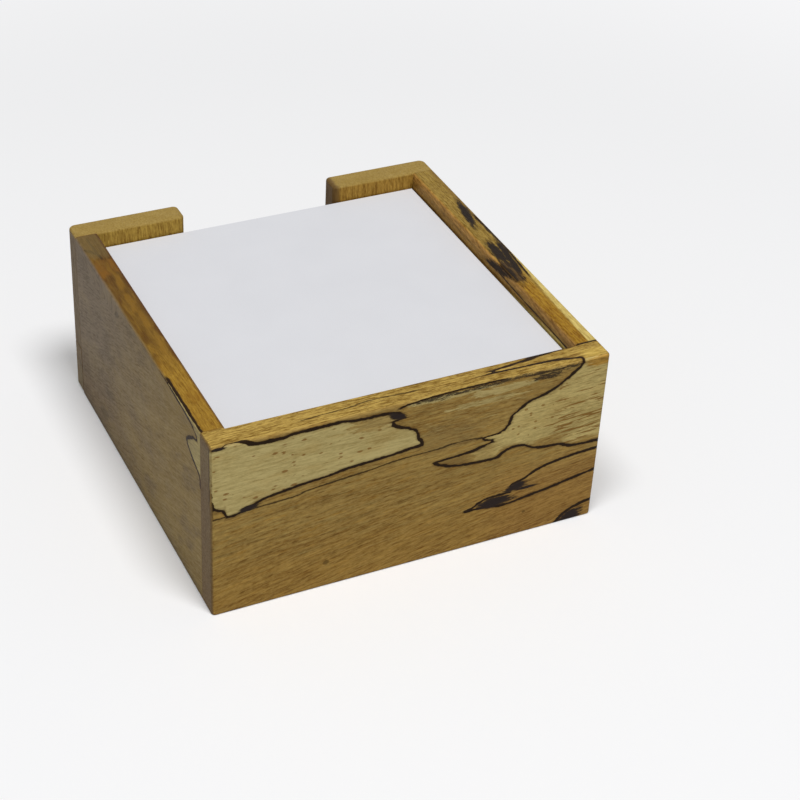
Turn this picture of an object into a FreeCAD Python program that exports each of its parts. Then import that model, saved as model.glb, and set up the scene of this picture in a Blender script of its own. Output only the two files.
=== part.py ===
import FreeCAD, Part
import math
import os

# A square wooden box that holds a block of note paper, with a shallow drawer under the paper.
# Millimetres, +Z up. The origin is the middle of the underside. The rear panel is at -Y, and the
# finger gap and the drawer are at +Y.

# ---- driving dimensions -------------------------------------------------------------------------

# the block of paper that the box is built around
pad_width = 90.0               # X
pad_depth = 90.0               # Y
card_thickness = 0.8           # grey card under the sheets
sheets_thickness = 26.2        # about 260 sheets
pad_clearance = 0.5            # air on each side of the paper

# the case
case_height = 49.5
side_thickness = 6.0
rear_thickness = 6.5
cheek_thickness = 6.5
cheek_width = 30.0             # each of the two upright boards at the open side
floor_thickness = 3.0          # panel under the paper
floor_groove = 2.5             # how deep the floor is let into the sides and the rear panel
base_thickness = 3.0
base_rabbet = 3.0              # how deep the base is let into the sides and the rear panel
groove_play = 0.1              # glue room at the bottom of each groove and rabbet

# edges eased by sanding, after the case is glued up
rear_corner_radius = 1.0       # upright outer corners at the rear panel
front_corner_radius = 1.8      # upright outer corners at the cheeks
gap_corner_radius = 1.4        # upright edges of the cheeks at the finger gap
rim_radius = 0.7               # top edges
foot_radius = 0.5              # outer bottom edges

# blind wooden pins in the corner joints of the case
dowel_diameter = 3.0
dowel_in_face = 3.5            # length in the rear panel or the cheek
dowel_in_end = 7.0             # length in the end of a side
dowel_margin = 8.0             # from the rim, and from the floor, to a pin's axis
pin_glue_gap = 0.03            # round each wooden pin
pin_end_play = 0.5             # empty hole past each end of a wooden pin

# the drawer
drawer_space = 12.0            # from the base to the underside of the floor
drawer_wall = 4.0
drawer_side_gap = 0.5          # on each side of the drawer
drawer_under_gap = 0.3         # between the drawer and the base
drawer_over_gap = 0.8          # between the drawer and the floor
drawer_rear_gap = 3.0          # between the drawer and the rear panel
drawer_front_gap = 0.3         # between the drawer front and the case, behind it and above it
drawer_front_lift = 0.5        # from the table to the drawer front
drawer_front_easing = 0.5      # edges of the drawer front
drawer_bottom_thickness = 1.5
drawer_bottom_lip = 1.0        # wood left below the groove for the drawer bottom
drawer_groove = 2.0            # how deep the drawer bottom is let in
notch_width = 22.0             # half-moon that a fingertip pulls at
notch_depth = 7.0
drawer_pin_diameter = 2.0      # blind wooden pins between the front and the drawer sides
drawer_pin_in_front = 3.5
drawer_pin_in_side = 6.0
drawer_pin_pitch = 4.0         # between the two pins of one joint
brad_diameter = 1.0            # steel pins between the drawer sides and the drawer back
brad_in_back = 6.0             # length past the drawer side

# ---- sizes and places that follow ---------------------------------------------------------------

well_width = pad_width + 2 * pad_clearance
well_depth = pad_depth + 2 * pad_clearance
case_width = well_width + 2 * side_thickness
case_depth = rear_thickness + well_depth + cheek_thickness
gap_width = case_width - 2 * cheek_width

# X of the boards' outer and inner faces, on the right
side_outer_x = case_width / 2
side_inner_x = well_width / 2
side_middle_x = side_inner_x + side_thickness / 2

# Y of the boards' faces, with the case's depth centred on the origin
rear_outer_y = -case_depth / 2
rear_inner_y = rear_outer_y + rear_thickness
front_inner_y = rear_inner_y + well_depth
front_outer_y = front_inner_y + cheek_thickness

# Z of the levels, from the table up
floor_under_z = base_thickness + drawer_space
floor_top_z = floor_under_z + floor_thickness
pad_top_z = floor_top_z + card_thickness + sheets_thickness
drawer_under_z = base_thickness + drawer_under_gap
drawer_bottom_z = drawer_under_z + drawer_bottom_lip
drawer_inside_z = drawer_bottom_z + drawer_bottom_thickness
drawer_top_z = floor_under_z - drawer_over_gap

# the drawer box
drawer_outer_x = side_inner_x - drawer_side_gap
drawer_inner_x = drawer_outer_x - drawer_wall
drawer_rear_y = rear_inner_y + drawer_rear_gap
drawer_front_y = front_inner_y + drawer_front_gap

# Z of the wooden pins' axes: one between the base and the floor, and two above the floor
case_pin_low_z = (base_thickness + floor_under_z) / 2
case_pin_upper_z = [floor_top_z + dowel_margin, case_height - dowel_margin]
drawer_pin_middle_z = (drawer_inside_z + drawer_top_z) / 2
drawer_pin_z = [drawer_pin_middle_z - drawer_pin_pitch / 2, drawer_pin_middle_z + drawer_pin_pitch / 2]


# ---- helpers ------------------------------------------------------------------------------------

def block(x0, x1, y0, y1, z0, z1):
    """A box between two corners."""
    return Part.makeBox(x1 - x0, y1 - y0, z1 - z0, FreeCAD.Vector(x0, y0, z0))


def pin_along_y(x, z, y0, y1, diameter):
    """A round pin along Y."""
    start = FreeCAD.Vector(x, y0, z)
    return Part.makeCylinder(diameter / 2, y1 - y0, start, FreeCAD.Vector(0, 1, 0))


def pin_along_x(y, z, x0, x1, diameter):
    """A round pin along X."""
    start = FreeCAD.Vector(x0, y, z)
    return Part.makeCylinder(diameter / 2, x1 - x0, start, FreeCAD.Vector(1, 0, 0))


def upright_edges(shape, places):
    """The edges along Z whose x and y match one of the places."""
    found = []
    for edge in shape.Edges:
        ends = [vertex.Point for vertex in edge.Vertexes]
        if len(ends) != 2 or math.hypot(ends[0].x - ends[1].x, ends[0].y - ends[1].y) > 1e-4:
            continue
        if any(math.hypot(ends[0].x - x, ends[0].y - y) < 1e-4 for x, y in places):
            found.append(edge)
    return found


def level_edges(shape, z):
    """The edges that lie in the plane at one height."""
    return [edge for edge in shape.Edges if edge.BoundBox.ZMin > z - 1e-4 and edge.BoundBox.ZMax < z + 1e-4]


def write(name, shape):
    shape.exportStep(os.path.join("parts", name + ".step"))


# ---- the case's walls ---------------------------------------------------------------------------

def eased_walls():
    """All the walls in one ring, with the edges eased across the joints, to cut the boards from."""
    walls = block(-side_outer_x, side_outer_x, rear_outer_y, front_outer_y, 0, case_height)
    rear_corners = [(-side_outer_x, rear_outer_y), (side_outer_x, rear_outer_y)]
    front_corners = [(-side_outer_x, front_outer_y), (side_outer_x, front_outer_y)]
    walls = walls.makeFillet(rear_corner_radius, upright_edges(walls, rear_corners))
    walls = walls.makeFillet(front_corner_radius, upright_edges(walls, front_corners))
    walls = walls.makeFillet(foot_radius, level_edges(walls, 0))
    above = case_height + 1
    walls = walls.cut(block(-side_inner_x, side_inner_x, rear_inner_y, front_inner_y, -1, above))
    half_gap = gap_width / 2
    walls = walls.cut(block(-half_gap, half_gap, front_inner_y - 1, front_outer_y + 1, -1, above))
    gap_corners = [(x, y) for x in (-half_gap, half_gap) for y in (front_inner_y, front_outer_y)]
    walls = walls.makeFillet(gap_corner_radius, upright_edges(walls, gap_corners))
    return walls.makeFillet(rim_radius, level_edges(walls, case_height))


def case_pin_places():
    """X and Z of the wooden pins at the rear joints, then at the cheeks."""
    rear = [(x, z) for x in (-side_middle_x, side_middle_x) for z in [case_pin_low_z] + case_pin_upper_z]
    cheeks = [(x, z) for x in (-side_middle_x, side_middle_x) for z in case_pin_upper_z]
    return rear, cheeks


def rear_pins(extra_length, extra_diameter):
    """Pins from the rear panel into the sides' ends, or with the extras, the holes for them."""
    y0 = rear_inner_y - dowel_in_face - extra_length
    y1 = rear_inner_y + dowel_in_end + extra_length
    places = case_pin_places()[0]
    return [pin_along_y(x, z, y0, y1, dowel_diameter + extra_diameter) for x, z in places]


def cheek_pins(extra_length, extra_diameter):
    """Pins from the cheeks into the sides' ends, or with the extras, the holes for them."""
    y0 = front_inner_y - dowel_in_end - extra_length
    y1 = front_inner_y + dowel_in_face + extra_length
    places = case_pin_places()[1]
    return [pin_along_y(x, z, y0, y1, dowel_diameter + extra_diameter) for x, z in places]


def floor_panel(play):
    """The panel under the paper. With play it is the groove that takes it."""
    half = side_inner_x + floor_groove + play
    rear = rear_inner_y - floor_groove - play
    return block(-half, half, rear, front_inner_y, floor_under_z, floor_top_z)


def floor_tongue():
    """The floor runs on between the cheeks, as far as the flat of their ends."""
    half = gap_width / 2
    front = front_outer_y - gap_corner_radius
    return block(-half, half, front_inner_y, front, floor_under_z, floor_top_z)


def base_panel(play):
    """The panel that the drawer slides on. With play it is the rabbet that takes it."""
    half = side_inner_x + base_rabbet + play
    rear = rear_inner_y - base_rabbet - play
    return block(-half, half, rear, front_inner_y, 0, base_thickness)


def case_cuts():
    """Everything that is cut out of the walls for the floor, the base and the wooden pins."""
    holes = rear_pins(pin_end_play, 2 * pin_glue_gap) + cheek_pins(pin_end_play, 2 * pin_glue_gap)
    slots = [floor_panel(groove_play), base_panel(groove_play)]
    return holes + slots


def wall_board(walls, x0, x1, y0, y1, z0):
    """One board out of the ring of walls, with its grooves, rabbet and holes."""
    board = walls.common(block(x0, x1, y0, y1, z0, case_height + 1))
    for tool in case_cuts():
        board = board.cut(tool)
    return board


def make_case():
    walls = eased_walls()
    out = side_outer_x + 1
    rear = rear_outer_y - 1
    front = front_outer_y + 1
    write("rear_panel", wall_board(walls, -out, out, rear, rear_inner_y, 0))
    write("left_side", wall_board(walls, -out, -side_inner_x, rear_inner_y, front_inner_y, 0))
    write("right_side", wall_board(walls, side_inner_x, out, rear_inner_y, front_inner_y, 0))
    write("left_cheek", wall_board(walls, -out, 0, front_inner_y, front, floor_under_z))
    write("right_cheek", wall_board(walls, 0, out, front_inner_y, front, floor_under_z))
    write("pad_floor", floor_panel(0).fuse(floor_tongue()).removeSplitter())
    write("base_panel", base_panel(0))
    write("rear_dowels", Part.makeCompound(rear_pins(0, 0)))
    write("cheek_dowels", Part.makeCompound(cheek_pins(0, 0)))


# ---- the drawer ---------------------------------------------------------------------------------

def drawer_bottom(play):
    """The thin panel that slides in under the drawer back. With play it is the groove that takes it."""
    half = drawer_inner_x + drawer_groove + play
    front = drawer_front_y + drawer_groove + play
    return block(-half, half, drawer_rear_y - play, front, drawer_bottom_z, drawer_inside_z)


def drawer_front_pins(extra_length, extra_diameter):
    """Pins from the front into the drawer sides' ends, or with the extras, the holes for them."""
    middle_x = (drawer_inner_x + drawer_outer_x) / 2
    y0 = drawer_front_y - drawer_pin_in_side - extra_length
    y1 = drawer_front_y + drawer_pin_in_front + extra_length
    diameter = drawer_pin_diameter + extra_diameter
    return [pin_along_y(x, z, y0, y1, diameter) for x in (-middle_x, middle_x) for z in drawer_pin_z]


def drawer_brads():
    """Headless steel pins through the drawer sides into the ends of the drawer back."""
    inner = drawer_inner_x - brad_in_back
    middle_y = drawer_rear_y + drawer_wall / 2
    spans = [(-drawer_outer_x, -inner), (inner, drawer_outer_x)]
    return [pin_along_x(middle_y, z, x0, x1, brad_diameter) for x0, x1 in spans for z in drawer_pin_z]


def notch():
    """The half-moon: a cylinder along Y whose lowest point is notch_depth under the top edge."""
    radius = (notch_width ** 2 / 4 + notch_depth ** 2) / (2 * notch_depth)
    middle_z = floor_under_z - drawer_front_gap - notch_depth + radius
    return pin_along_y(0, middle_z, drawer_front_y - 1, front_outer_y + 1, 2 * radius)


def notch_edges(front):
    """The two arcs where the half-moon meets the faces of the front."""
    return [edge for edge in front.Edges
            if edge.BoundBox.YLength < 1e-4 and isinstance(edge.Curve, Part.Circle)]


def drawer_front():
    """The front laps over the case's sides and base, flush with the cheeks above it."""
    top_z = floor_under_z - drawer_front_gap
    front = block(-side_outer_x, side_outer_x, drawer_front_y, front_outer_y, drawer_front_lift, top_z)
    corners = [(-side_outer_x, front_outer_y), (side_outer_x, front_outer_y)]
    front = front.makeFillet(front_corner_radius, upright_edges(front, corners))
    front = front.cut(notch())
    edges = level_edges(front, drawer_front_lift) + level_edges(front, top_z) + notch_edges(front)
    front = front.makeFillet(drawer_front_easing, edges)
    for tool in [drawer_bottom(groove_play)] + drawer_front_pins(pin_end_play, 2 * pin_glue_gap):
        front = front.cut(tool)
    return front


def drawer_side(x0, x1):
    """A side runs from the front to behind the drawer back."""
    side = block(x0, x1, drawer_rear_y, drawer_front_y, drawer_under_z, drawer_top_z)
    pins = drawer_front_pins(pin_end_play, 2 * pin_glue_gap) + drawer_brads()
    for tool in [drawer_bottom(groove_play)] + pins:
        side = side.cut(tool)
    return side


def drawer_back():
    """The back stands between the sides, on the drawer bottom."""
    y1 = drawer_rear_y + drawer_wall
    back = block(-drawer_inner_x, drawer_inner_x, drawer_rear_y, y1, drawer_inside_z, drawer_top_z)
    for brad in drawer_brads():
        back = back.cut(brad)
    return back


def make_drawer():
    write("drawer_front", drawer_front())
    write("drawer_left_side", drawer_side(-drawer_outer_x, -drawer_inner_x))
    write("drawer_right_side", drawer_side(drawer_inner_x, drawer_outer_x))
    write("drawer_back", drawer_back())
    write("drawer_bottom", drawer_bottom(0))
    write("drawer_front_dowels", Part.makeCompound(drawer_front_pins(0, 0)))
    write("drawer_back_brads", Part.makeCompound(drawer_brads()))


# ---- the paper ----------------------------------------------------------------------------------

def make_paper():
    """Sheets on a grey card, lying loose in the well on the floor."""
    x0 = -pad_width / 2
    y0 = rear_inner_y + pad_clearance
    card_top_z = floor_top_z + card_thickness
    write("backing_card", block(x0, -x0, y0, y0 + pad_depth, floor_top_z, card_top_z))
    write("sheet_block", block(x0, -x0, y0, y0 + pad_depth, card_top_z, pad_top_z))


os.makedirs("parts", exist_ok=True)
make_case()
make_drawer()
make_paper()
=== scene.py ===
import bpy
import numpy as np
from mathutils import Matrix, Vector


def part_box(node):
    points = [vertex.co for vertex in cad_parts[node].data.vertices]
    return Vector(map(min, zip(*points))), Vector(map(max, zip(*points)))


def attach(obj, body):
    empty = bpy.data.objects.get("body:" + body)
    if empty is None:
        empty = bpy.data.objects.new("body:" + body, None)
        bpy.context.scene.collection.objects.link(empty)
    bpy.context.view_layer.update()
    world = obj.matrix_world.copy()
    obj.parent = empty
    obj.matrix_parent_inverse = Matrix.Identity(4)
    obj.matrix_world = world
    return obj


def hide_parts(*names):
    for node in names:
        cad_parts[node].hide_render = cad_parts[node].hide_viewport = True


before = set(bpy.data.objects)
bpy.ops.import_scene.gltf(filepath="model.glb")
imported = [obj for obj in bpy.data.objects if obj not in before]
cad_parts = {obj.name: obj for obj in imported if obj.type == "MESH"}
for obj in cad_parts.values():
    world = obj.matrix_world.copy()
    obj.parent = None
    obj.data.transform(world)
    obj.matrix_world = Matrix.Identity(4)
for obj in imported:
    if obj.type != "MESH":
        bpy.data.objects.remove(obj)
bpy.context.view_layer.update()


# ---- The room -----------------------------------------------------------------------------------
# A sweep of white paper under two soft lamps, high up and on the rear panel's side, one to each
# side of the middle. The sweep keeps the object's shadow, and further out it runs into plain white.

mm_per_metre = 1000


class Field:
    """A number that changes from place to place on a surface. Arithmetic on it adds shader nodes."""

    def __init__(self, finish, socket):
        self.finish = finish
        self.socket = socket

    def __add__(self, other):
        return self.finish.math("ADD", self, other)

    def __sub__(self, other):
        return self.finish.math("SUBTRACT", self, other)

    def __rsub__(self, other):
        return self.finish.math("SUBTRACT", other, self)

    def __mul__(self, other):
        return self.finish.math("MULTIPLY", self, other)

    def __truediv__(self, other):
        return self.finish.math("DIVIDE", self, other)

    def __neg__(self):
        return self.finish.math("MULTIPLY", self, -1.0)

    def __abs__(self):
        return self.finish.math("ABSOLUTE", self)

    __radd__ = __add__
    __rmul__ = __mul__


class Finish:
    """A material written as formulas of x, y and z, the place on the piece in millimetres."""

    def __init__(self, name, roughness=0.5, specular=0.06):
        self.material = bpy.data.materials.new(name)
        self.material.use_nodes = True
        self.tree = self.material.node_tree
        self.shader = self.tree.nodes["Principled BSDF"]
        self.shader.inputs["Roughness"].default_value = roughness
        self.shader.inputs["Specular IOR Level"].default_value = specular
        place = self.node("ShaderNodeTexCoord").outputs["Object"]
        parts = self.node("ShaderNodeSeparateXYZ", Vector=place).outputs
        self.x, self.y, self.z = [Field(self, part) * mm_per_metre for part in parts]

    def put(self, socket, value):
        """Gives a socket a number, a colour, or what another node puts out."""
        if isinstance(value, Field):
            value = value.socket
        if isinstance(value, bpy.types.NodeSocket):
            self.tree.links.new(value, socket)
        elif isinstance(value, tuple) and socket.type == "RGBA":
            socket.default_value = (*value, 1)
        else:
            socket.default_value = value

    def node(self, kind, **values):
        """Adds a node and gives its sockets their values by name."""
        made = self.tree.nodes.new(kind)
        for name, value in values.items():
            self.put(made.inputs[name.replace("_", " ")], value)
        return made

    def math(self, operation, *values):
        """The result of one sum, such as an addition or a square root."""
        made = self.tree.nodes.new("ShaderNodeMath")
        made.operation = operation
        for socket, value in zip(made.inputs, values):
            self.put(socket, value)
        return Field(self, made.outputs[0])

    def least(self, first, *others):
        """The smallest of the values, place by place."""
        for other in others:
            first = self.math("MINIMUM", first, other)
        return first

    def most(self, first, *others):
        """The largest of the values, place by place."""
        for other in others:
            first = self.math("MAXIMUM", first, other)
        return first

    def step(self, value, start, end):
        """0 up to the start, 1 past the end, and a smooth rise between them."""
        made = self.node("ShaderNodeMapRange", Value=value)
        made.interpolation_type = "SMOOTHSTEP"
        self.put(made.inputs[1], start)
        self.put(made.inputs[2], end)
        return Field(self, made.outputs[0])

    def band(self, value, start, end, soft):
        """1 between the two ends, fading out over the soft stretch at each."""
        return self.step(value, start - soft, start) * self.step(value, end + soft, end)

    def noise(self, x, y, z, detail=2.0, roughness=0.5):
        """A smooth random number, mostly between -1 and 1, with one lump to each unit of x, y, z.
        It is what the node gives, less one half, times four."""
        place = self.node("ShaderNodeCombineXYZ", X=x, Y=y, Z=z).outputs[0]
        made = self.node("ShaderNodeTexNoise", Vector=place, Scale=1.0, Detail=detail, Roughness=roughness)
        return (Field(self, made.outputs[0]) - 0.5) * 4

    def flecks(self, x, y, z, share):
        """1 inside small round flecks, which that share of the unit cells of x, y and z hold.
        Their radius is at most about 0.42 of a cell."""
        place = self.node("ShaderNodeCombineXYZ", X=x, Y=y, Z=z).outputs[0]
        cells = self.node("ShaderNodeTexVoronoi", Vector=place, Scale=1.0)
        chance = self.node("ShaderNodeSeparateColor", Color=cells.outputs["Color"]).outputs[0]
        radius = self.step(Field(self, chance), 1 - share, 1.0) * 0.42 + 0.001
        return self.step(Field(self, cells.outputs["Distance"]), radius, radius * 0.6)

    def blend(self, share, first, second):
        """The colour that lies this share of the way from the first to the second."""
        made = self.tree.nodes.new("ShaderNodeMix")
        made.data_type = "RGBA"
        self.put(made.inputs[0], share)
        self.put(made.inputs[6], first)
        self.put(made.inputs[7], second)
        return made.outputs[2]

    def colour(self, colour):
        """Gives the surface its colour."""
        self.put(self.shader.inputs["Base Color"], colour)

    def relief(self, height, depth):
        """Turns a height from 0 to 1 into the slope of the surface. The depth is in millimetres."""
        made = self.node("ShaderNodeBump", Distance=depth / mm_per_metre, Height=height)
        self.put(self.shader.inputs["Normal"], made.outputs[0])

    def dress(self, *names):
        """Gives this material to CAD nodes."""
        for name in names:
            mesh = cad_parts[name].data
            mesh.materials.clear()
            mesh.materials.append(self.material)


sweep_reach = 4.0              # metres, each way from the object
sweep_clear = 0.20             # metres from the object, where the sweep starts to run into white
sweep_white = 0.40             # metres, where it is plain white
sweep_colour = (0.965, 0.967, 0.975)
sweep_bounce = (0.50, 0.50, 0.505)      # what it throws back on to the object
room_white = (0.93, 0.93, 0.94)

corners = np.array([(-1, -1, 0), (1, -1, 0), (1, 1, 0), (-1, 1, 0)]) * sweep_reach
sweep_mesh = bpy.data.meshes.new("paper_sweep")
sweep_mesh.from_pydata(corners, [], [(0, 1, 2, 3)])
sweep = bpy.data.objects.new("paper_sweep", sweep_mesh)
bpy.context.scene.collection.objects.link(sweep)

paper = Finish("sweep_paper", roughness=1.0, specular=0.0)
rays = paper.node("ShaderNodeLightPath").outputs
seen = Field(paper, rays["Is Camera Ray"])
shown = paper.most(seen, Field(paper, rays["Is Glossy Ray"]), Field(paper, rays["Is Transmission Ray"]))
paper.colour(paper.blend(shown, sweep_bounce, sweep_colour))
white = paper.node("ShaderNodeEmission", Color=room_white)
away = paper.math("SQRT", paper.x * paper.x + paper.y * paper.y) / mm_per_metre
joined = paper.tree.nodes.new("ShaderNodeMixShader")
paper.put(joined.inputs[0], paper.step(away, sweep_clear, sweep_white) * shown)
paper.put(joined.inputs[1], paper.shader.outputs[0])
paper.put(joined.inputs[2], white.outputs[0])
paper.put(paper.tree.nodes["Material Output"].inputs["Surface"], joined.outputs[0])
sweep_mesh.materials.append(paper.material)

air_light = 0.18               # what the room gives from all round, as a share of full white
world = bpy.data.worlds.new("room")
world.use_nodes = True
sky = world.node_tree
rays = sky.nodes.new("ShaderNodeLightPath")
shown = sky.nodes.new("ShaderNodeMath")
shown.operation = "MAXIMUM"
sky.links.new(rays.outputs["Is Camera Ray"], shown.inputs[0])
sky.links.new(rays.outputs["Is Glossy Ray"], shown.inputs[1])
level = sky.nodes.new("ShaderNodeMapRange")
level.inputs["To Min"].default_value = air_light
sky.links.new(shown.outputs[0], level.inputs["Value"])
sky.nodes["Background"].inputs["Color"].default_value = (*room_white, 1)
sky.links.new(level.outputs[0], sky.nodes["Background"].inputs["Strength"])
bpy.context.scene.world = world

lamps = {                      # place in metres, width in metres, watts
    "key_lamp": ((0.20, -1.0, 2.5), 0.9, 39.0),
    "fill_lamp": ((-0.74, -0.50, 2.5), 0.7, 21.5),
}
for name, (place, width, watts) in lamps.items():
    lamp = bpy.data.lights.new(name, "AREA")
    lamp.shape = "DISK"
    lamp.size = width
    lamp.energy = watts
    stand = bpy.data.objects.new(name, lamp)
    stand.location = place
    stand.rotation_euler = stand.location.to_track_quat("Z", "Y").to_euler()
    bpy.context.scene.collection.objects.link(stand)

camera_place = (-0.170817, -0.371542, 0.307796)  # metres
camera_angles = (54.4143, -2.7437, -25.4537)     # degrees: tilt, roll and heading
lens_length = 86.6                               # millimetres
lens = bpy.data.cameras.new("camera")
lens.lens = lens_length
camera = bpy.data.objects.new("camera", lens)
camera.location = camera_place
camera.rotation_euler = np.radians(camera_angles)
bpy.context.scene.collection.objects.link(camera)
bpy.context.scene.camera = camera
bpy.context.scene.view_settings.view_transform = "Standard"


# ---- Rear panel ---------------------------------------------------------------------------------
# A full-height board of spalted beech, grain lying along it. Fungus has bleached parts of it to
# cream and drawn black lines where they end. Its ends lap the sides. Sanded and oiled, satin.

low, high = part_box("rear_panel")
rim_height = high.z * mm_per_metre
panel_end = high.x * mm_per_metre
rim_turn = (rim_height - 0.5, rim_height + 0.7)  # where a face turns over into the rim
end_turn = (panel_end - 0.5, panel_end - 0.1)    # where a face turns into end grain
end_fold = 0.75                # share of the depth that the pattern leaves out on end grain
steep_reach = 0.12             # millimetres, the reach for lines that climb the board

# Each kind of beech is two colours, of its darkest fibres and of its palest.
golden_beech = ((0.160, 0.079, 0.015), (0.51, 0.340, 0.098))
amber_beech = ((0.19, 0.072, 0.006), (0.54, 0.30, 0.05))
straw_beech = ((0.13, 0.082, 0.022), (0.44, 0.34, 0.115))
orange_beech = ((0.17, 0.074, 0.011), (0.54, 0.32, 0.070))
reddish_beech = ((0.15, 0.062, 0.014), (0.50, 0.275, 0.072))
rim_beech = ((0.15, 0.072, 0.006), (0.55, 0.37, 0.092))
corner_beech = ((0.15, 0.072, 0.006), (0.62, 0.33, 0.05))
glowing_beech = ((0.36, 0.22, 0.04), (0.67, 0.47, 0.115))
rear_end_beech = ((0.13, 0.078, 0.030), (0.21, 0.135, 0.060))
cream_beech = ((0.36, 0.265, 0.085), (0.65, 0.53, 0.222))
warm_cream_beech = ((0.32, 0.225, 0.070), (0.73, 0.58, 0.222))
tan_cream_beech = ((0.33, 0.21, 0.055), (0.60, 0.43, 0.145))
dusky_brown = (0.13, 0.085, 0.040)
tip_brown = (0.14, 0.070, 0.020)
spot_brown = (0.24, 0.110, 0.022)
dash_brown = (0.25, 0.125, 0.025)
dot_brown = (0.26, 0.125, 0.022)
fleck_brown = (0.15, 0.070, 0.015)
line_black = (0.021, 0.010, 0.003)
ink_black = (0.028, 0.019, 0.016)
scuff_grey = (0.032, 0.023, 0.015)


def beech(wood, along, across, through, figure=1.0):
    """The tone of the wood, from 0 for the darkest to 1 for the palest, and the height of its
    fibres. The tone adds up broad bands, a mottle, fine fibres and short dark rays, all of them
    drawn out along the grain. The height is the same sum without the bands. The figure says how
    strongly all but the bands show in the tone."""
    drift = wood.noise(along * 0.012, across * 0.06, through * 0.06)
    bands = wood.noise(along * 0.016, across * 0.26 + drift, through * 0.26, 3.0)
    mottle = wood.noise(along * 0.7, across * 1.5, through * 1.5, 3.0, 0.7)
    fibres = wood.noise(along * 0.20, across * 1.9, through * 1.9, 3.0, 0.75)
    rays = wood.flecks(along * 0.30, across * 2.1, through * 2.1, 0.7)
    fine = fibres * 1.1 + mottle * 0.6 - rays * 0.6
    tone = wood.step(bands * 0.5 + fine * figure, -1.9, 1.6)
    return tone, wood.step(fine, -2.0, 1.5)


def height_of(wood, place, points):
    """The height, at each place along it, of a smooth line drawn through the points."""
    start, length = points[0][0], points[-1][0] - points[0][0]
    low = min(height for along, height in points)
    rise = max(height for along, height in points) - low
    made = wood.node("ShaderNodeFloatCurve", Value=(place - start) / length)
    drawn = made.mapping.curves[0].points
    for along, height in points[1:-1]:
        drawn.new((along - start) / length, (height - low) / rise)
    drawn[0].location = (0, (points[0][1] - low) / rise)
    drawn[len(drawn) - 1].location = (1, (points[-1][1] - low) / rise)
    for point in drawn:
        point.handle_type = "AUTO_CLAMPED"
    made.mapping.extend = "HORIZONTAL"
    made.mapping.update()
    return Field(wood, made.outputs[0]) * rise + low


def over(wood, height, place, points, reach=0.2):
    """How far a point is over a line, in millimetres, measured square to the line: the difference
    in height, divided by the square root of one plus the square of the line's slope. The slope is
    taken between two places, one reach to either side."""
    ahead = height_of(wood, place + reach, points)
    behind = height_of(wood, place - reach, points)
    slope = (ahead - behind) / (2 * reach)
    return (height - (ahead + behind) * 0.5) / wood.math("SQRT", slope * slope + 1)


def wander(wood, along, height, seed):
    """The place on the board moved a little at random, so that lines drawn there waver, then half
    their thickness, and a roughness for the edges of stains, which runs along the grain."""
    moved = along + wood.noise(along * 0.5, height * 0.8, seed) * 0.28
    lifted = height + wood.noise(along * 0.9, height * 1.6, seed + 1.0) * 0.11
    half_width = 0.42 + wood.noise(along * 0.2, height * 0.2, seed + 2.0) * 0.16
    rough = wood.noise(along * 0.30, height * 1.3, seed + 3.0, 4.0, 0.7)
    return moved, lifted, half_width, rough


def zone_line(wood, distance, half_width):
    """1 on a black line, from the distance to its middle."""
    return wood.step(abs(distance), half_width + 0.12, half_width - 0.14)


def halo(wood, distance):
    """The brown stain beside a black line."""
    return wood.step(abs(distance), 1.1, 0.3) * 0.4


def blot(wood, along, height, middle, radii, rise, rough):
    """An oval stain with a ragged edge. The rise is how steeply its long axis climbs."""
    u = along - middle[0]
    v = height - middle[1] - u * rise
    size = wood.math("SQRT", u * u / radii[0] ** 2 + v * v / radii[1] ** 2)
    return wood.step(size + rough * 0.45, 1.2, 0.6)


def blots(wood, along, height, places, rough):
    """Several such stains, each given by its middle, its two radii and its rise."""
    return wood.most(*[blot(wood, along, height, *place, rough) for place in places])


def oil(wood, colour, height, roughness=0.5):
    """The satin of oiled wood: a little glossier on the raised fibres."""
    wood.colour(colour)
    wood.put(wood.shader.inputs["Roughness"], roughness + 0.06 - height * 0.12)
    wood.relief(height, 0.05)


# Each line is a list of places along the board and heights up it. Past the rim's height the
# heights go on across the top, as if the board's faces were one sheet folded at the rim. The two
# ends are steep, so their points give the height first and then the place.
left_lower = [(-51.5, 38.0), (-51.3, 34.0), (-50.9, 32.2), (-50.0, 31.6), (-48.8, 31.2), (-48.3, 30.6),
              (-47.9, 29.4), (-47.2, 28.9), (-44.5, 29.3), (-43.0, 30.0), (-41.5, 30.6), (-38.2, 31.8),
              (-33.5, 32.5), (-30.2, 33.0), (-22.2, 33.7), (-18.2, 34.4), (-8.2, 35.0), (-2.2, 35.6),
              (1.4, 35.9)]
left_upper = [(-51.5, 48.8), (-49.0, 49.1), (-47.0, 49.9), (-43.5, 49.4), (-41.5, 48.3), (-37.5, 47.8),
              (-34.0, 47.8), (-31.5, 48.2), (-20.0, 48.3), (-15.5, 47.7), (-9.0, 47.6), (-5.0, 46.9),
              (-3.0, 45.6)]
left_end = [(35.4, 1.4), (36.2, 1.5), (38.2, 0.5), (40.5, -0.3), (41.5, -1.8), (43.2, -5.3), (44.5, -6.6),
            (45.5, -3.8), (46.4, -4.6), (47.4, -6.2), (48.2, -8.0)]
right_end = [(28.9, 5.0), (29.3, 5.2), (29.6, 7.5), (29.8, 10.5), (30.2, 14.5), (31.0, 18.5), (31.8, 20.5),
             (32.5, 18.9), (33.2, 18.0), (33.7, 22.5), (35.5, 24.7), (37.8, 25.5), (39.2, 27.2),
             (40.8, 29.5), (42.3, 34.5), (43.8, 37.8), (46.2, 41.2), (48.2, 43.5), (49.5, 44.1),
             (50.6, 43.6), (51.4, 40.5), (52.1, 36.0), (52.5, 28.0), (53.1, 21.2), (53.8, 24.0),
             (54.3, 28.5), (54.9, 33.0), (55.6, 39.0), (56.3, 50.0), (56.6, 52.0)]
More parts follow.
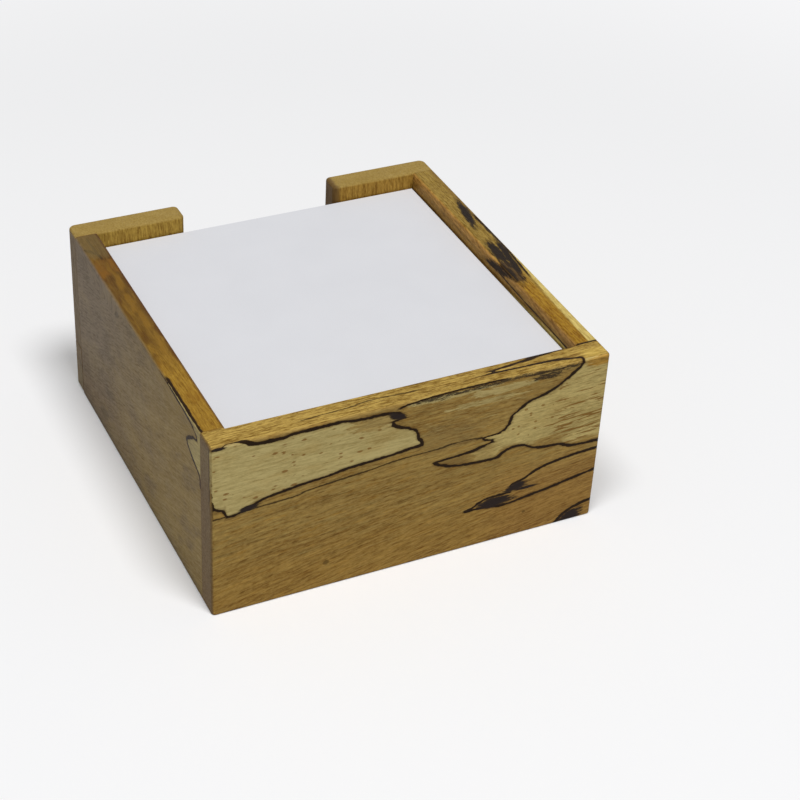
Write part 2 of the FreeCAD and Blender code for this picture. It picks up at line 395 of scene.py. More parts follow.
right_lower = [(5.0, 29.3), (7.2, 28.2), (10.5, 27.1), (13.8, 26.6), (21.2, 26.2), (23.8, 27.4),
               (27.2, 28.3), (29.2, 28.1), (31.8, 26.7), (35.2, 25.9), (39.8, 25.5), (41.5, 24.7),
               (44.5, 24.0), (51.5, 23.8)]
hairline = [(-51.5, 29.0), (-46.0, 29.2), (-42.0, 29.6), (-34.2, 29.9), (-30.8, 30.1), (-28.2, 30.8),
            (-21.5, 31.5), (-11.5, 32.3), (-6.2, 33.0), (-0.8, 33.3), (5.2, 33.4), (11.2, 33.9),
            (17.2, 33.7), (18.2, 33.3)]
fork_upper = [(26.5, 15.9), (28.0, 16.7), (30.2, 17.3), (32.2, 18.3), (35.2, 19.6), (39.8, 20.5),
              (43.8, 21.0), (51.5, 21.5)]
spear_upper = [(14.3, 11.6), (16.5, 12.2), (18.5, 13.4), (21.0, 14.1), (27.5, 14.2)]
spear_lower = [(14.3, 11.6), (18.5, 11.5), (21.8, 11.3), (25.2, 10.7), (31.2, 11.4), (37.2, 12.2),
               (43.8, 13.4), (51.5, 14.7)]
foot_line = [(40.4, -0.6), (41.6, 0.8), (43.8, 2.8), (47.2, 4.2), (51.5, 5.1)]
rim_line = [(-31.0, 51.7), (-24.8, 52.2), (-16.8, 52.6), (-8.8, 53.4), (-3.5, 53.1), (3.0, 53.0)]
under_rim = [(-6.0, 47.9), (-4.0, 48.4), (-1.0, 48.9), (7.0, 49.4), (16.0, 49.6), (26.0, 49.4),
             (40.0, 49.7)]
smear_line = [(-4.0, 48.6), (4.0, 48.5), (12.0, 48.8), (20.0, 48.9), (28.0, 49.0), (36.0, 48.5),
              (46.0, 49.4)]

# Each stain is its middle, its two radii and how steeply it rises.
ink_spots = [((22.8, 12.3), (5.4, 1.5), 0.02), ((28.6, 15.5), (3.4, 1.2), 0.18),
             ((31.5, 14.4), (3.4, 0.45), 0.0), ((-42.4, 30.1), (2.6, 0.9), 0.15),
             ((-5.4, 46.1), (2.3, 1.1), -0.30), ((-49.6, 48.9), (1.9, 0.5), 0.0),
             ((45.2, 0.9), (3.6, 2.2), 0.22)]
faint_spots = [((-22.4, 7.4), (0.9, 0.8), 0.0), ((31.5, 6.7), (0.6, 0.4), 0.0)]
brown_spots = [((25.0, 27.9), (3.4, 1.4), 0.1), ((36.0, 27.2), (6.0, 1.9), 0.0),
               ((48.5, 24.4), (7.0, 1.5), 0.0)]
pale_streaks = [((22.0, 46.6), (10.0, 1.2), 0.0), ((8.0, 48.2), (13.0, 0.9), 0.0)]

wood = Finish("rear_panel_beech")
x, y = wood.x, wood.y
outer_face = low.y * mm_per_metre
end_grain = wood.step(abs(x), *end_turn)
on_left_end = end_grain * wood.step(x, 0.0, -1.0)
up = wood.z + (y - outer_face) * (1 - end_grain * end_fold)
moved, lifted, thick, rough = wander(wood, x, up, 7.0)
left_zone = wood.least(over(wood, lifted, moved, left_lower), -over(wood, lifted, moved, left_upper),
                       -over(wood, moved, lifted, left_end, steep_reach))
right_zone = wood.least(over(wood, moved, lifted, right_end, steep_reach),
                        over(wood, lifted, moved, right_lower))
on_tongue = wood.step(x, 4.2, 4.9) * (1 - wood.step(x, 22.6, 23.2) * wood.band(up, 33.1, 33.8, 0.1))
swollen = wood.band(x, -43, -37, 2.0) * 0.16
pinched = wood.step(x, -44.0, -46.0) * 0.22
thick_left = thick + wood.step(up, 46, 47) * (swollen - pinched)
thick_right = thick + wood.step(up, 54.8, 55.8) * 0.3
fork_distance = over(wood, lifted, moved, fork_upper)
spear_distance = over(wood, lifted, moved, spear_lower)
inky = blots(wood, x, up, ink_spots, rough)
black = wood.most(
    zone_line(wood, left_zone, thick_left),
    zone_line(wood, right_zone, thick_right) * on_tongue,
    zone_line(wood, over(wood, lifted, moved, hairline), thick * 0.55) * wood.band(x, -51, 18, 0.5) * 0.85,
    zone_line(wood, fork_distance, thick) * wood.step(x, 26.2, 26.8),
    zone_line(wood, over(wood, lifted, moved, spear_upper), thick * 0.9) * wood.band(x, 14.5, 27.0, 0.7),
    zone_line(wood, spear_distance, thick) * wood.step(x, 14.2, 14.8),
    zone_line(wood, over(wood, lifted, moved, foot_line), thick * 1.2) * wood.step(x, 39.5, 40.5),
    zone_line(wood, over(wood, lifted, moved, rim_line), thick * 0.5) * wood.band(x, -28, 0, 3.0) * 0.8,
    zone_line(wood, over(wood, lifted, moved, under_rim), thick * 0.75) * wood.band(x, -4.5, 22, 2.0),
    inky,
    blots(wood, x, up, faint_spots, rough) * 0.55,
)
turned = y - outer_face - 1.15 + wood.noise(wood.z * 0.25, 3.0, 9.0) * 0.35
on_turned = wood.band(wood.z, 33.0, 48.5, 1.0) * on_left_end
black = wood.most(black * (1 - on_left_end), zone_line(wood, turned, 0.34) * on_turned * 0.85)

on_top = wood.step(up, *rim_turn)
climb = wood.most(0.22 - up * 0.005, 0.03)
tone, height = beech(wood, x, up - x * climb, y, 1.0 + on_top * 0.7)
tint = wood.noise(x * 0.13, (up - x * climb) * 1.1, 41.0, 4.0, 0.75)
streaks = wood.noise(x * 0.06, (up - x * 0.05) * 0.75, 2.0, 3.0, 0.6)
orange = wood.step(up + streaks * 7, 24, 4)
reddened = wood.step(x, 14, 30) * wood.step(up, 25, 16)
dusky = blot(wood, x, up, (8.0, 36.5), (10.0, 4.5), 0.0, rough)
ground = wood.blend(tone, *golden_beech)
ground = wood.blend(wood.step(tint, 0.0, 0.9) * 0.7, ground, wood.blend(tone, *amber_beech))
ground = wood.blend(wood.step(tint, 0.0, -0.9) * 0.7, ground, wood.blend(tone, *straw_beech))
ground = wood.blend(orange * 0.6, ground, wood.blend(tone, *orange_beech))
ground = wood.blend(reddened * 0.5, ground, wood.blend(tone, *reddish_beech))
ground = wood.blend(on_top, ground, wood.blend(tone, *rim_beech))
ground = wood.blend(dusky * 0.25, ground, dusky_brown)

in_left = wood.step(left_zone, 0, 0.4)
in_right = wood.step(right_zone, 0, 0.4) * wood.step(up, 50.4, 49.4)
low_down = wood.step(up, 31.5, 30.4)
browned = low_down * wood.most(wood.step(x + rough * 1.5, 18.0, 15.0),
                               wood.step(x + rough * 1.5, 23.5, 20.5) * 0.55,
                               blots(wood, x, up, brown_spots, rough))
tan_patch = blot(wood, x, up, (-10.0, 46.4), (8.5, 3.4), 0.08, rough)
tanned = wood.step(rough * 0.35 + streaks * 0.5 + tan_patch * 1.3, 0.5, 1.1)
creamy = wood.most(in_left * (1 - tanned * 0.7), in_right * (1 - browned * 0.9))
cream = wood.blend(wood.step(tone + streaks * 0.15, -0.35, 1.0), *cream_beech)
cream = wood.blend(in_right, cream, wood.blend(tone, *warm_cream_beech))
shade = wood.noise(x * 0.07, up * 0.22, 71.0, 3.0, 0.6)
cream = wood.blend(wood.step(shade, -0.1, 0.7) * 0.5, cream, wood.blend(tone, *tan_cream_beech))
spots = wood.flecks(x * 0.42 + rough * 0.2, up * 0.85, 1.0, 0.60) * in_left
cream = wood.blend(spots * 0.8, cream, spot_brown)
dashes = wood.noise(x * 0.11, (up - x * 0.06) * 1.15, 25.0, 3.0, 0.6)
dashes = dashes + wood.step(up, 42, 32) * wood.step(x, 30, 44) * 0.24 - wood.step(x, 38, 30) * 0.3
cream = wood.blend(wood.step(dashes, 0.30, 0.52) * in_right * 0.9, cream, dash_brown)
dots = wood.flecks(x * 0.65, up * 0.9, 15.0, 0.30) * in_right * wood.step(x, 44, 38)
cream = wood.blend(dots * 0.7, cream, dot_brown)

colour = wood.blend(creamy, ground, cream)
tongue_tip = in_right * wood.step(x, 16, 12) * low_down
colour = wood.blend(tongue_tip * 0.45, colour, tip_brown)
corner = blot(wood, x, up, (49.5, 48.4), (5.0, 1.7), 0.0, rough)
colour = wood.blend(corner * 0.85, colour, wood.blend(tone, *corner_beech))
glow = wood.step(x, 43.5, 45.5) * wood.band(up, 50.6, 52.8, 0.8)
colour = wood.blend(glow, colour, wood.blend(tone, *glowing_beech))
scratches = wood.noise(x * 0.13, (up - x * 0.02) * 2.2, 33.0, 4.0, 0.7)
pale = wood.most(blots(wood, x, up, pale_streaks, rough),
                 blot(wood, x, up, (18.0, 44.2), (12.0, 1.0), 0.0, rough) * 0.8,
                 blot(wood, x, up, (14.0, 41.0), (19.0, 6.0), 0.0, rough) * 0.35)
pale = wood.step(scratches + pale * 1.9, 0.9, 1.6)
colour = wood.blend(pale * 0.8, colour, cream)
scuffs = wood.noise(x * 0.42, (up - x * 0.015) * 3.2, 63.0, 4.0, 0.8)
smear = wood.step(abs(over(wood, up, x, smear_line)), 1.5, 0.1) * wood.band(x, 0, 42, 5.0)
smear = wood.most(smear, blot(wood, x, up, (34.5, 47.4), (5.0, 1.2), 0.0, rough))
smear = wood.step(smear * 1.25 + scuffs, 0.85, 1.15)
colour = wood.blend(smear * 0.9, colour, scuff_grey)
rim_scuff = wood.band(up, 49.9, 52.6, 0.6) * wood.band(x, -14, 40, 8.0)
colour = wood.blend(wood.step(rim_scuff + scuffs, 1.25, 1.6) * 0.75, colour, scuff_grey)
stain = wood.most(halo(wood, left_zone), halo(wood, right_zone) * on_tongue,
                  halo(wood, spear_distance) * wood.step(x, 16, 20))
colour = wood.blend(stain, colour, fleck_brown)
colour = wood.blend(black, colour, line_black)
colour = wood.blend(inky * (1 - end_grain) * 0.9, colour, ink_black)
wrapped = on_turned * wood.step(turned, 0.2, -0.2)
greyed = end_grain * (0.9 - black * 0.3 - wrapped * 0.7)
colour = wood.blend(greyed, colour, wood.blend(tone, *rear_end_beech))
oil(wood, colour, height)
wood.dress("rear_panel")


# ---- Sides --------------------------------------------------------------------------------------
# Two boards of the same beech between the rear panel and the cheeks, grain lying front to back.
# The left one turns darker and greyer towards the front, partly its own tone and partly painted
# shade and a painted grey sheen; its foot and the inner edge of its rim are painted in shade. The
# right one is bleached along its outer rim, and its inner face is painted in shade above the pad.

# The loop climbs the board, so its points give the height first and then the place.
loop_line = [(33.0, -45.6), (34.2, -45.2), (36.6, -44.6), (38.2, -41.6), (40.0, -38.2), (41.6, -36.7),
             (43.2, -38.2), (45.0, -41.0), (46.3, -43.3), (47.7, -41.0), (48.3, -37.5), (48.8, -31.0),
             (49.2, -24.0)]
edge_line = [(-46.0, 49.9), (-40.0, 49.8), (-32.0, 49.9), (-22.0, 49.8)]
hook_line = [(32.3, 52.6), (35.0, 52.3), (36.4, 51.4), (37.0, 50.6), (38.9, 49.8)]
barb_line = [(33.0, 52.6), (37.0, 52.2), (43.5, 52.0), (45.5, 52.0)]

left_rear = ((0.215, 0.135, 0.032), (0.41, 0.285, 0.098))
# The front colours are painted shade and a painted grey sheen over the wood's own tone. The low one is
# darker still: painted shade near the floor.
left_front_painted_sheen = ((0.150, 0.105, 0.060), (0.30, 0.223, 0.135))
left_front_low_painted_shade = ((0.115, 0.070, 0.030), (0.25, 0.172, 0.090))
left_rim_rear = ((0.14, 0.060, 0.005), (0.43, 0.25, 0.034))
left_rim_front = ((0.040, 0.016, 0.003), (0.185, 0.095, 0.017))
dark_cloud = ((0.105, 0.070, 0.038), (0.20, 0.145, 0.085))
pale_cloud = ((0.22, 0.155, 0.065), (0.40, 0.30, 0.150))
dim_beech = ((0.105, 0.070, 0.040), (0.215, 0.155, 0.095))
olive_beech = ((0.095, 0.060, 0.020), (0.215, 0.148, 0.052))
red_brown = (0.20, 0.080, 0.006)
umber = (0.080, 0.030, 0.004)
tawny = (0.27, 0.140, 0.018)
rust = (0.24, 0.105, 0.014)
# Painted shade along the foot of the left face, where it meets the floor.
painted_foot_shade = (0.085, 0.060, 0.036)
# Painted shade on the rim's inner edge, where it rounds down into the well.
arris_painted_shade = (0.080, 0.026, 0.006)

low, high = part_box("left_side")
outer_face = low.x * mm_per_metre
inner_face = high.x * mm_per_metre
side_end = high.y * mm_per_metre
glued_end = (side_end - 0.5, side_end - 0.1)     # where the glue darkens the wood
wood = Finish("left_side_beech")
x, y = wood.x, wood.y
up = wood.z + x - outer_face
moved, lifted, thick, rough = wander(wood, y, up, 17.0)
loop = over(wood, moved, lifted, loop_line, steep_reach)
black = wood.most(
    zone_line(wood, loop, thick) * wood.band(up, 33.6, 49.6, 0.6),
    zone_line(wood, over(wood, lifted, moved, edge_line), thick * 1.1) * wood.band(y, -46, -23, 2.0),
    zone_line(wood, over(wood, lifted, moved, hook_line), thick * 0.9) * wood.band(y, 34.5, 38.5, 0.6),
    zone_line(wood, over(wood, lifted, moved, barb_line), thick * 0.7) * wood.band(y, 33, 43, 1.2) * 0.9,
    blot(wood, y, up, (36.6, 51.4), (1.8, 0.6), -0.5, rough),
    blot(wood, y, up, (27.0, 6.0), (3.6, 2.6), -0.2, rough) * 0.30,
    blot(wood, y, up, (12.6, 45.8), (1.8, 1.0), -0.5, rough) * 0.45,
)
on_top = wood.step(up, *rim_turn)
climb = 0.34 - wood.step(up, 44, 50) * 0.28
figure = 1.0 - on_top * wood.step(y, -30, 10) * 0.45
tone, height = beech(wood, y, up + y * climb, x + 60, figure)
shift = wood.noise(y * 0.05, up * 0.12, 12.0, 3.0, 0.6)
# Towards the front the face turns darker and greyer, partly its tone and partly painted shade and a
# painted grey sheen. Low down it is darker still, with painted shade.
front = wood.blend(tone, *left_front_painted_sheen)
front = wood.blend(wood.step(up, 26, 4), front, wood.blend(tone, *left_front_low_painted_shade))
tone_and_sheen_share = wood.step(y + shift * 14 + wood.step(up, 10, 45) * 12, -25, 45)
face = wood.blend(tone_and_sheen_share, wood.blend(tone, *left_rear), front)
rim_darker = wood.step(y + shift * 12, -30, 24)
rim = wood.blend(rim_darker, wood.blend(tone, *left_rim_rear), wood.blend(tone, *left_rim_front))
colour = wood.blend(on_top, face, rim)
bleached = wood.step(loop, 0.2, -0.5) * wood.band(up, 36.5, 49.2, 0.8)
colour = wood.blend(bleached, colour, wood.blend(tone, *cream_beech))
cloud = wood.noise(y * 0.07, (up + y * 0.3) * 0.12, 51.0, 3.0, 0.6) * (1 - on_top)
colour = wood.blend(wood.step(cloud, 0.0, 0.8) * 0.5, colour, wood.blend(tone, *dark_cloud))
colour = wood.blend(wood.step(cloud, 0.0, -0.8) * 0.4, colour, wood.blend(tone, *pale_cloud))
upper_front = wood.step(y, 5, 35) * wood.step(up, 30, 44) * (1 - on_top)
colour = wood.blend(upper_front * 0.35, colour, wood.blend(tone, *dim_beech))
patches = wood.noise(y * 0.11, up * 0.35, 18.0, 2.0)
reddish = wood.step(patches - wood.step(y, -20, 0), 0.1, 0.7) * on_top
colour = wood.blend(reddish * 0.55, colour, red_brown)
mottled = on_top * wood.band(y, -12, 32, 8.0)
colour = wood.blend(wood.step(patches, 0.0, 0.5) * mottled * 0.6, colour, umber)
colour = wood.blend(wood.step(patches, -0.1, -0.6) * mottled * 0.55, colour, tawny)
colour = wood.blend(halo(wood, loop) * wood.band(up, 34, 49, 1.0), colour, fleck_brown)
# Painted shade along the foot of the face, where it meets the floor.
foot_shade_share = wood.step(up + shift * 0.5, 2.8, 0.4)
colour = wood.blend(foot_shade_share * 0.45, colour, painted_foot_shade)
colour = wood.blend(black, colour, line_black)
olive = on_top * wood.step(y + shift * 3, 32.5, 36.0)
colour = wood.blend(olive * 0.7, colour, wood.blend(tone, *olive_beech))
rusty = on_top * wood.band(y + shift * 4, 25.0, 31.5, 2.5) * wood.step(patches, -0.6, 0.3)
colour = wood.blend(rusty * 0.7, colour, rust)
# Painted shade on the rim's inner edge, where it rounds down into the well beside the pad.
arris = on_top * wood.step(x, inner_face - 1.1, inner_face - 0.4)
colour = wood.blend(arris * 0.6, colour, arris_painted_shade)
seam = wood.step(abs(y), *glued_end)
colour = wood.blend(seam * 0.55, colour, fleck_brown)
oil(wood, colour, height)
wood.dress("left_side")

bleach_lower = [(-46.0, 33.0), (-38.0, 30.5), (-30.0, 31.0), (-22.0, 35.0), (-14.0, 36.5), (-6.0, 40.5),
                (2.0, 45.0), (8.0, 48.0), (14.0, 50.2), (18.0, 50.4)]
bleach_upper = [(-46.0, 52.3), (-34.0, 52.0), (-22.0, 51.5), (-14.0, 51.1), (-6.0, 50.6), (4.0, 50.1),
                (20.0, 50.3)]
inner_line = [(-42.0, 45.9), (-31.0, 46.2), (-17.0, 46.4), (-6.0, 46.9)]
low_line = [(-46.0, 11.0), (-36.0, 13.5), (-25.0, 12.6), (-15.0, 16.0), (-4.0, 17.0), (3.0, 21.5),
            (12.0, 20.6), (22.0, 24.0), (34.0, 23.0), (46.0, 26.5)]

rim_spots = [((-4.0, 51.8), (11.0, 1.0), -0.12), ((-0.8, 53.4), (6.6, 1.5), -0.03),
             ((-10.8, 55.6), (5.4, 1.4), -0.03), ((20.2, 51.9), (7.8, 1.2), -0.14)]
inner_spots = [((-10.5, 49.3), (5.0, 0.9), -0.05), ((-4.5, 47.7), (6.5, 1.3), -0.13)]

right_rim = ((0.14, 0.078, 0.010), (0.40, 0.265, 0.060))
right_rim_orange = ((0.16, 0.060, 0.003), (0.47, 0.27, 0.030))
right_inner = ((0.23, 0.107, 0.016), (0.63, 0.345, 0.085))
# Painted shade on the inner face just above the pad.
right_inner_painted_shade = ((0.14, 0.068, 0.010), (0.40, 0.225, 0.052))
bright_cream_beech = ((0.42, 0.29, 0.075), (0.74, 0.58, 0.19))
smoke_brown = (0.060, 0.032, 0.013)
seam_brown = (0.035, 0.018, 0.008)
rim_ink = (0.017, 0.011, 0.007)

low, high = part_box("right_side")
outer_face = high.x * mm_per_metre
inner_face = low.x * mm_per_metre
wood = Finish("right_side_beech")
x, y = wood.x, wood.y
up = wood.z - x + outer_face
moved, lifted, thick, rough = wander(wood, y, up, 27.0)
lower = over(wood, lifted, moved, bleach_lower)
upper = over(wood, lifted, moved, bleach_upper)
low_distance = over(wood, lifted, moved, low_line)
inside = wood.step(x, inner_face + 0.5, inner_face + 0.1)
on_rim = wood.most(blots(wood, y, up, rim_spots, rough),
                   blot(wood, y, up, (11.0, 50.4), (2.4, 0.5), 0.0, rough) * 0.7)
on_rim = on_rim * (1 - inside)
on_inner_face = wood.most(
    blots(wood, y, wood.z, inner_spots, rough),
    zone_line(wood, over(wood, wood.z, moved, inner_line), thick * 0.6) * wood.band(y, -42, -6, 2.0),
)
black = wood.most(
    zone_line(wood, lower, thick) * wood.step(y, 18.5, 17.0) * (1 - inside),
    zone_line(wood, upper, thick * 0.7) * wood.band(y, -12, 18, 3.0) * (1 - inside),
    zone_line(wood, low_distance, thick * 0.9),
    blot(wood, y, up, (14.0, 21.0), (8.0, 1.6), 0.1, rough),
    on_rim,
    on_inner_face * inside,
)
on_top = wood.step(up, *rim_turn)
tone, height = beech(wood, y, up - y * 0.08, x + 90, 1.0 + on_top * 0.3)
ground = wood.blend(tone, *golden_beech)
ground = wood.blend(on_top, ground, wood.blend(tone, *right_rim))
# Painted shade in a band on the inner face just above the pad, where the wall meets the sheets.
shaded = wood.band(wood.z, 43.5, 46.8, 1.4)
inner_wood = wood.blend(shaded, wood.blend(tone, *right_inner), wood.blend(tone, *right_inner_painted_shade))
ground = wood.blend(inside, ground, inner_wood)
orange = wood.step(up, 51.2, 52.5) * wood.step(y + rough * 4, 0, -20) * (1 - inside)
ground = wood.blend(orange, ground, wood.blend(tone, *right_rim_orange))
bleached = wood.step(wood.least(lower, -upper) + rough * 0.15, 0.0, 0.5) * wood.step(y, 8.0, -8.0)
colour = wood.blend(bleached, ground, wood.blend(tone, *bright_cream_beech))
colour = wood.blend(wood.most(halo(wood, low_distance), halo(wood, lower)), colour, fleck_brown)
smoky = blot(wood, y, up, (-9.5, 54.2), (7.5, 2.3), -0.03, rough) * (1 - inside)
colour = wood.blend(smoky * 0.9, colour, smoke_brown)
colour = wood.blend(black, colour, line_black)
colour = wood.blend(on_rim * 0.9, colour, rim_ink)
seam = wood.most(wood.step(-y, *glued_end), wood.step(y, *glued_end) * 0.2)
colour = wood.blend(seam * 0.9, colour, seam_brown)
oil(wood, colour, height)
wood.dress("right_side")


# ---- Cheeks -------------------------------------------------------------------------------------
# Two short upright boards on the front ends of the sides, with the finger gap between them. The
# grain stands up, so their tops are end grain. The right one's end at the gap is painted in shade.

cheek_line = [(20.0, 31.0), (26.0, 33.5), (31.0, 32.0), (37.0, 36.5), (43.0, 36.0), (47.0, 39.0),
              (52.0, 38.0)]
cheek_top = ((0.26, 0.165, 0.034), (0.39, 0.265, 0.072))
cheek_top_pale = ((0.30, 0.20, 0.060), (0.42, 0.295, 0.095))
# End grain: darker, as end grain is, and greyed with painted shade like the shaded left face.
end_grain_with_painted_shade = ((0.125, 0.083, 0.042), (0.225, 0.160, 0.090))
# Painted shade for the cheeks' ends at the finger gap.
gap_painted_shade = (0.11, 0.06, 0.022)
low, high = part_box("right_cheek")
gap_edge = low.x * mm_per_metre
cheek_face = high.y * mm_per_metre
cheeks = {                     # its grain's place in the noise, painted shade at its gap end, its wood
    "left_cheek": (140.0, 0.15, ((0.15, 0.066, 0.006), (0.54, 0.35, 0.067))),
    "right_cheek": (180.0, 0.85, ((0.15, 0.066, 0.006), (0.515, 0.305, 0.057))),
}
for name, (apart, gap_shade_share, cheek_beech) in cheeks.items():
    wood = Finish(name + "_beech")
    x, y, z = wood.x, wood.y, wood.z
    tone, height = beech(wood, z, x + z * 0.04, y + apart, 1.1)
    cloud = wood.noise(x * 0.14, y * 0.35, apart, 3.0, 0.6)
    top = wood.blend(tone, *cheek_top)
    top = wood.blend(wood.step(cloud, -0.9, 0.9) * 0.5, top, wood.blend(tone, *cheek_top_pale))
    on_top = wood.step(z, rim_height - 0.8, rim_height - 0.1)
    colour = wood.blend(on_top, wood.blend(tone, *cheek_beech), top)
    ragged = abs(x) + wood.noise(x * 0.3, y * 0.3, z * 0.05) * 0.5
    # Painted shade on each cheek's end at the gap and just round it: much on the right one, little on the
    # left.
    gap_end = wood.step(ragged, gap_edge + 2.2, gap_edge + 0.6)
    colour = wood.blend(gap_end * gap_shade_share, colour, gap_painted_shade)
    # The left cheek's outer end grain: darker, as end grain is, and greyed with painted shade like the
    # left face.
    outer_end = wood.step(-x, *end_turn) * (1 - on_top)
    colour = wood.blend(outer_end * 0.92, colour, wood.blend(tone, *end_grain_with_painted_shade))
    if name == "left_cheek":
        moved, lifted, thick, rough = wander(wood, abs(x), z, apart)
        outside = wood.step(y, cheek_face - 1.6, cheek_face - 0.8)
        black = zone_line(wood, over(wood, lifted, moved, cheek_line), thick * 0.8) * outside
        colour = wood.blend(black, colour, line_black)
    oil(wood, colour, height)
    wood.dress(name)


# ---- Drawer front -------------------------------------------------------------------------------
# The strip of spalted beech that closes the slot under the cheeks. A half-round notch in its top
# edge takes a fingertip. It is doweled to the front ends of the drawer's sides.

tide_line = [(-52.0, 10.6), (-44.0, 9.8), (-37.0, 11.0), (-30.0, 9.4), (-24.0, 6.2), (-16.0, 4.6),
             (-7.0, 5.0), (0.0, 3.2), (8.0, 4.4), (16.0, 4.0), (25.0, 6.4), (33.0, 9.6), (41.0, 8.4),
             (47.0, 10.2), (52.0, 9.6)]

tide_spots = [((-26.5, 7.6), (4.0, 1.0), -0.4), ((30.0, 8.3), (3.4, 0.9), 0.4)]

outer_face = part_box("drawer_front")[1].y * mm_per_metre
wood = Finish("drawer_front_beech")
x, y = wood.x, wood.y
end_grain = wood.step(abs(x), *end_turn)
up = wood.z + (outer_face - y) * (1 - end_grain * end_fold)
moved, lifted, thick, rough = wander(wood, x, up, 37.0)
tide = over(wood, lifted, moved, tide_line)
black = wood.most(zone_line(wood, tide, thick), blots(wood, x, up, tide_spots, rough))
tone, height = beech(wood, x, up - x * 0.05, y + 220)
spots = wood.flecks(x * 0.5, up, 3.0, 0.2)
cream = wood.blend(spots * 0.7, wood.blend(tone, *cream_beech), fleck_brown)
colour = wood.blend(wood.step(tide, 0, -0.4), wood.blend(tone, *golden_beech), cream)
colour = wood.blend(halo(wood, tide), colour, fleck_brown)
colour = wood.blend(black, colour, line_black)
# The ends are end grain: darker, as end grain is, and greyed with painted shade like the shaded left face.
colour = wood.blend(end_grain * 0.9, colour, wood.blend(tone, *end_grain_with_painted_shade))
oil(wood, colour, height)
wood.dress("drawer_front")


# ---- Drawer sides and back ----------------------------------------------------------------------
# Plain beech with no spalting, planed and left bare, pinkish and even. The sides' grain lies front
# to back, the back's from side to side. The drawer's bottom sits in a groove in all of them.

planed_beech = ((0.40, 0.235, 0.115), (0.66, 0.46, 0.27))
pore_brown = (0.30, 0.15, 0.065)
for name in ("drawer_left_side", "drawer_right_side", "drawer_back"):
    wood = Finish(name + "_beech", roughness=0.6)
    x, y, z = wood.x, wood.y, wood.z
    along, across = (x, y) if name == "drawer_back" else (y, x)
    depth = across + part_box(name)[0].z * mm_per_metre + 300
    tone, height = beech(wood, along, z * 1.2, depth, 0.7)
    pores = wood.flecks(along * 0.5, z * 1.4, across * 1.4, 0.5)
    colour = wood.blend(pores * 0.4, wood.blend(tone, *planed_beech), pore_brown)
    oil(wood, colour, height, 0.6)
    wood.dress(name)


# ---- Plywood panels -----------------------------------------------------------------------------
# The floor under the pad, the base and the drawer's bottom are birch plywood: pale sheets glued
# with the grain crossed. The plies and the brown glue between them show at the edges.

birch_face = ((0.60, 0.44, 0.26), (0.76, 0.62, 0.42))
birch_core = ((0.42, 0.27, 0.14), (0.60, 0.43, 0.25))
birch_pore = (0.40, 0.26, 0.13)
glue_brown = (0.10, 0.05, 0.025)
for name in ("pad_floor", "base_panel", "drawer_bottom"):
    low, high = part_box(name)
    ply = Finish(name + "_plywood", roughness=0.6)
    x, y = ply.x, ply.y
    level = (ply.z - low.z * mm_per_metre) / ((high.z - low.z) * mm_per_metre)
    core = ply.band(level, 0.34, 0.66, 0.02)
    seed = low.z * mm_per_metre + 40
    waves = ply.noise(x * 0.05, y * 0.012, seed, 2.0) * 2
    face_tone = ply.noise(x * 0.5 + waves, y * 0.03, seed, 4.0, 0.6)
    face_tone = face_tone + ply.noise(x * 3.0, y * 0.3, seed, 2.0) * 0.5
    core_tone = ply.noise(x * 0.3, y * 2.4, ply.z * 2.4, 3.0, 0.7)
    pores = ply.flecks(x * 2.2, y * 0.35, seed, 0.25)
    face = ply.blend(pores * 0.35, ply.blend(ply.step(face_tone, -1.3, 1.3), *birch_face), birch_pore)
    inner = ply.blend(ply.step(core_tone, -1.2, 1.2), *birch_core)
    glue = ply.most(ply.band(level, 0.32, 0.35, 0.012), ply.band(level, 0.65, 0.68, 0.012))
    ply.colour(ply.blend(glue * 0.8, ply.blend(core, face, inner), glue_brown))
    ply.relief(ply.step(face_tone, -1.5, 1.5), 0.03)
    ply.dress(name)


# ---- Dowels and brads ---------------------------------------------------------------------------
# Birch dowels, cut from a turned rod, pin the corners and the drawer's front with glue. Two small
# bright steel brads hold the drawer's back at each side.

turned_birch = ((0.50, 0.34, 0.17), (0.70, 0.54, 0.34))
bore_brown = (0.30, 0.17, 0.08)
for name in ("rear_dowels", "cheek_dowels", "drawer_front_dowels"):
    pin = Finish(name + "_birch", roughness=0.6)
    x, y, z = pin.x, pin.y, pin.z
    grain = pin.step(pin.noise(x * 2.0, y * 0.25, z * 2.0, 3.0, 0.7), -1, 1)
    bores = pin.flecks(x * 3.0, y * 0.4, z * 3.0, 0.4)
    pin.colour(pin.blend(bores * 0.4, pin.blend(grain, *turned_birch), bore_brown))
    pin.relief(grain, 0.04)
    pin.dress(name)

bright_steel = ((0.48, 0.48, 0.47), (0.62, 0.62, 0.61))
brad = Finish("bright_steel", roughness=0.35)
drawn = brad.step(brad.noise(brad.x * 1.2, brad.y * 8.0, brad.z * 8.0, 3.0), -1, 1)
brad.colour(brad.blend(drawn, *bright_steel))
brad.shader.inputs["Metallic"].default_value = 1.0
brad.put(brad.shader.inputs["Roughness"], 0.36 + drawn * 0.1)
brad.relief(drawn, 0.01)
brad.dress("drawer_back_brads")


# ---- Memo pad -----------------------------------------------------------------------------------
# A block of loose white sheets on a grey card, square cut, lying in the well. Each sheet is its own
# thin slab, laid a hair out of line with the next. The top sheet is blank and lies square.

sheet_pitch = 0.0001           # metres from one sheet to the next
sheet_share = 0.93             # of the pitch that is paper, with air for the rest
sheet_shift = 0.00004          # metres, how far a sheet strays sideways
sheet_turn = 0.0006            # radians, how far it turns
sheet_seed = 7


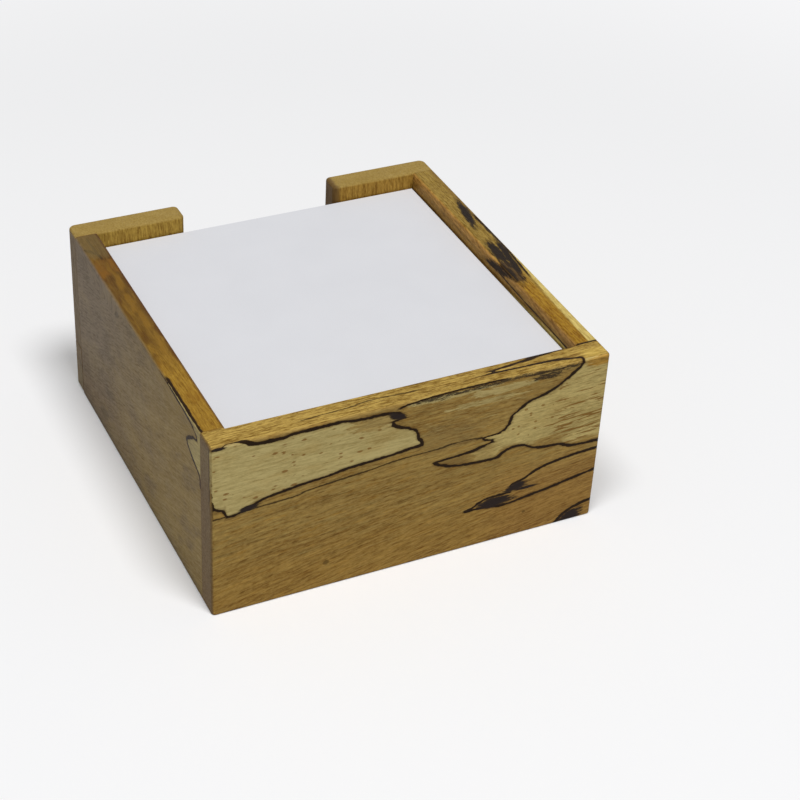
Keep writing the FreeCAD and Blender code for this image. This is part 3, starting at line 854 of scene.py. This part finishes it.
def paper_stack(low, high):
    """Corner points and faces of a pile of sheets that fills the box: each sheet is the box's
    outline, turned and moved by small random amounts and given a bottom and a top level."""
    count = int(round((high.z - low.z) / sheet_pitch))
    rng = np.random.default_rng(sheet_seed)
    turns = np.clip(rng.normal(0, sheet_turn, count), -2 * sheet_turn, 2 * sheet_turn)
    shifts = np.clip(rng.normal(0, sheet_shift, (count, 2)), -3 * sheet_shift, 3 * sheet_shift)
    turns[-1], shifts[-1] = 0, 0
    outline = np.array([(low.x, low.y), (high.x, low.y), (high.x, high.y), (low.x, high.y)])
    cos, sin = np.cos(turns)[:, None], np.sin(turns)[:, None]
    turned_x = outline[:, 0] * cos - outline[:, 1] * sin
    turned_y = outline[:, 0] * sin + outline[:, 1] * cos
    plan = np.stack([turned_x, turned_y], axis=-1) + shifts[:, None, :]
    tops = high.z - sheet_pitch * np.arange(count)[::-1]
    levels = np.stack([tops - sheet_pitch * sheet_share, tops], axis=-1)
    points = np.empty((count, 2, 4, 3))
    points[..., :2] = plan[:, None]
    points[..., 2] = levels[:, :, None]
    slab = np.array([(3, 2, 1, 0), (4, 5, 6, 7), (0, 1, 5, 4), (1, 2, 6, 5), (2, 3, 7, 6), (3, 0, 4, 7)])
    faces = slab + 8 * np.arange(count)[:, None, None]
    return points.reshape(-1, 3), faces.reshape(-1, 4)


points, faces = paper_stack(*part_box("sheet_block"))
stack_mesh = bpy.data.meshes.new("paper_sheets")
stack_mesh.from_pydata(points, [], faces)
sheets = bpy.data.objects.new("paper_sheets", stack_mesh)
bpy.context.scene.collection.objects.link(sheets)
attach(sheets, "pad")
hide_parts("sheet_block")

paper_white = ((0.715, 0.72, 0.75), (0.74, 0.745, 0.775))
white = Finish("note_paper_white", roughness=0.85, specular=0.2)
fibres = white.noise(white.x * 3.0, white.y * 3.0, white.z * 3.0, 3.0, 0.6)
cloud = white.noise(white.x * 0.08, white.y * 0.08, white.z * 2.0, 2.0)
white.colour(white.blend(white.step(fibres * 0.5 + cloud, -2, 2), *paper_white))
white.relief(white.step(fibres, -1.5, 1.5), 0.01)
stack_mesh.materials.append(white.material)

card_grey = ((0.31, 0.30, 0.28), (0.40, 0.39, 0.365))
fleck_grey = (0.20, 0.185, 0.17)
card = Finish("grey_card", roughness=0.85, specular=0.2)
pulp = card.noise(card.x * 1.5, card.y * 1.5, card.z * 4.0, 4.0, 0.7)
flecks = card.flecks(card.x * 0.9, card.y * 0.7, card.z * 2.0, 0.3)
colour = card.blend(card.step(pulp, -1.2, 1.2), *card_grey)
card.colour(card.blend(flecks * 0.5, colour, fleck_grey))
card.relief(card.step(pulp, -1.5, 1.5), 0.03)
card.dress("backing_card")
